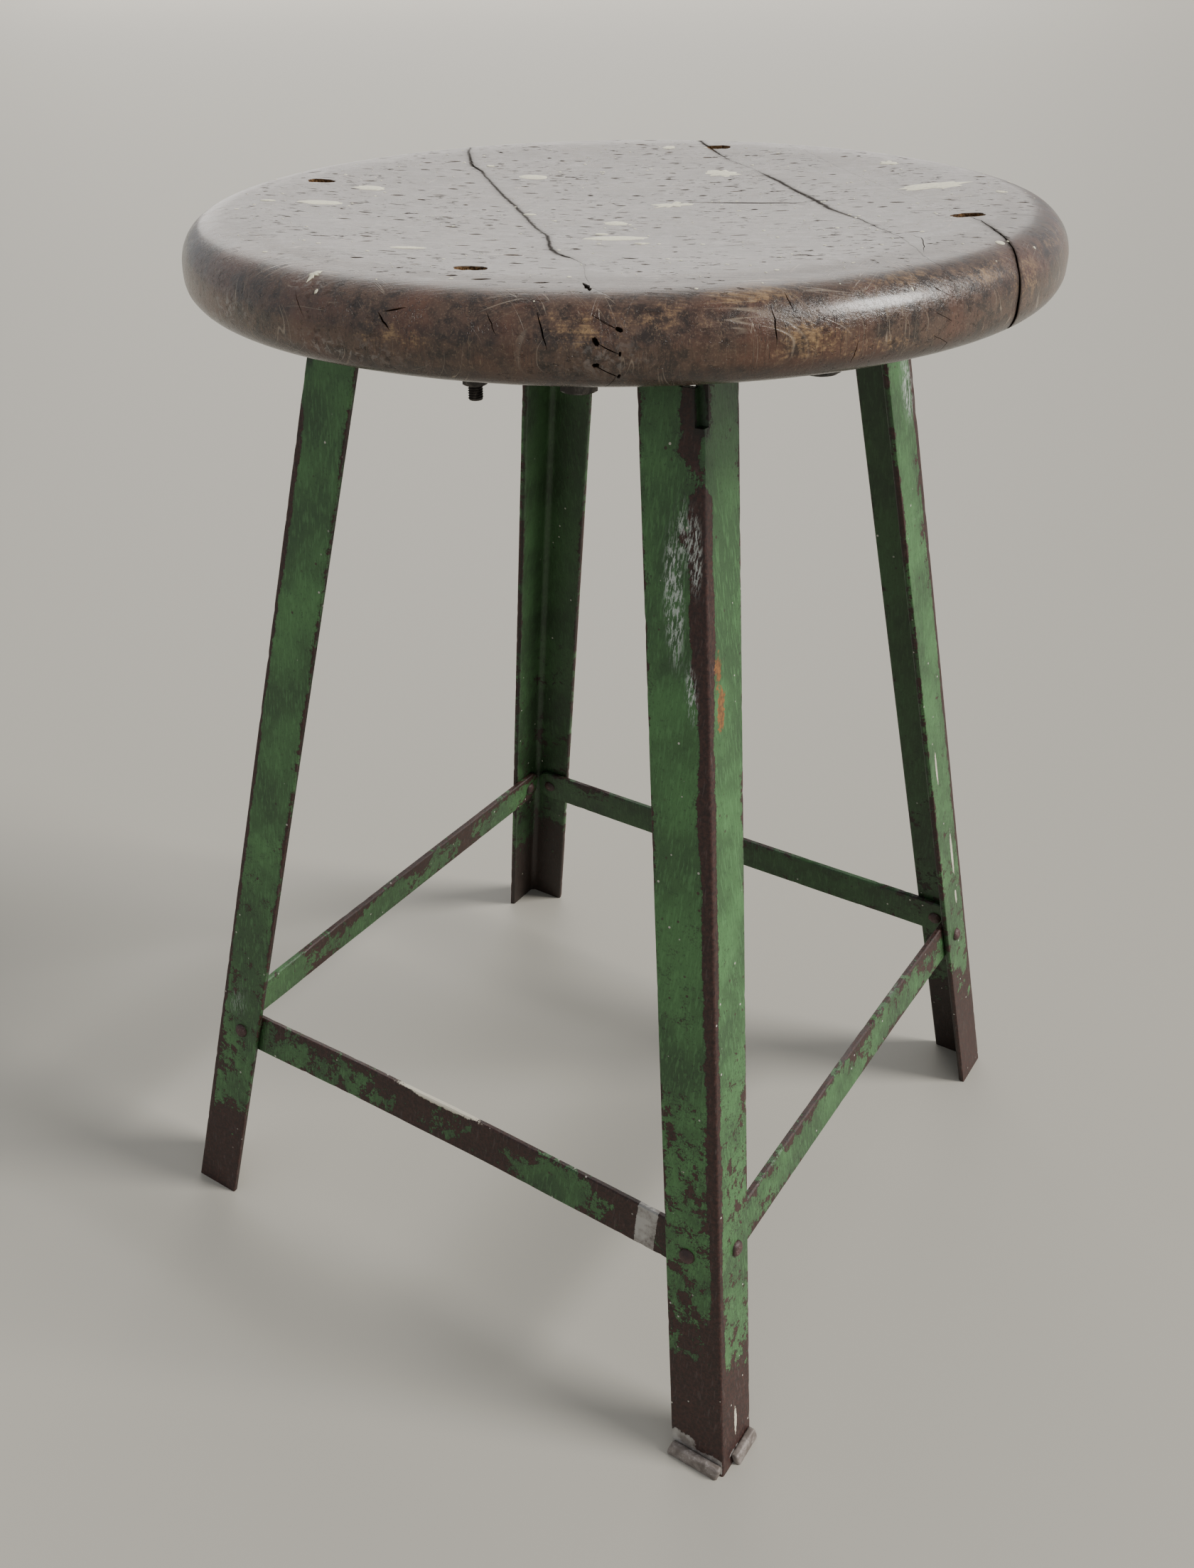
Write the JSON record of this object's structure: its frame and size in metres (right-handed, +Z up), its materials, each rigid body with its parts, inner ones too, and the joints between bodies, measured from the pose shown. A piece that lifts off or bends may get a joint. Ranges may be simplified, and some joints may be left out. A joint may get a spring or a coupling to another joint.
{
  "type": "stool",
  "caption": "Round dished wooden seat on splayed angle-iron legs tied by flat-bar stretchers near the floor, hung from a flat steel ring bolted and screwed under the seat.",
  "frame": {"origin": "on the floor under the centre of the round seat", "axes": "+Z up; the legs stand on the diagonals, leg_front at +X -Y and the others a quarter turn apart; the stretchers run along X and Y"},
  "size_m": [0.33, 0.33, 0.48],
  "materials": {
    "seat_wood": "dark varnish, worn and greyed on top",
    "green_paint": "old green enamel, chipped to dark primer and rust",
    "stretcher_paint": "green enamel worn mostly to dark brown steel",
    "rivet_steel": "dark oxide, worn",
    "ring_steel": "dark paint, dull",
    "fastener_steel": "blackened, oiled",
    "strip_metal": "dull grey-brown, scuffed"
  },
  "bodies": {
    "root": {"seat_board_left": "seat_wood", "seat_board_middle": "seat_wood", "seat_board_narrow": "seat_wood", "seat_board_right": "seat_wood", "leg_front": "green_paint", "leg_right": "green_paint", "leg_back": "green_paint", "leg_left": "green_paint", "foot_strip_left": "strip_metal", "foot_strip_right": "strip_metal", "stretcher_front": "stretcher_paint", "stretcher_right": "stretcher_paint", "stretcher_back": "stretcher_paint", "stretcher_left": "stretcher_paint", "stretcher_rivet_front_a": "rivet_steel", "stretcher_rivet_front_b": "rivet_steel", "stretcher_rivet_right_a": "rivet_steel", "stretcher_rivet_right_b": "rivet_steel", "stretcher_rivet_back_a": "rivet_steel", "stretcher_rivet_back_b": "rivet_steel", "stretcher_rivet_left_a": "rivet_steel", "stretcher_rivet_left_b": "rivet_steel", "mounting_ring": "ring_steel", "tab_rivets": "rivet_steel", "seat_bolt_1": "fastener_steel", "seat_bolt_2": "fastener_steel", "seat_bolt_3": "fastener_steel", "seat_bolt_4": "fastener_steel", "bolt_washers": "fastener_steel", "bolt_nuts": "fastener_steel", "coach_washers": "fastener_steel", "coach_screws": "fastener_steel"}
  },
  "joints": []
}
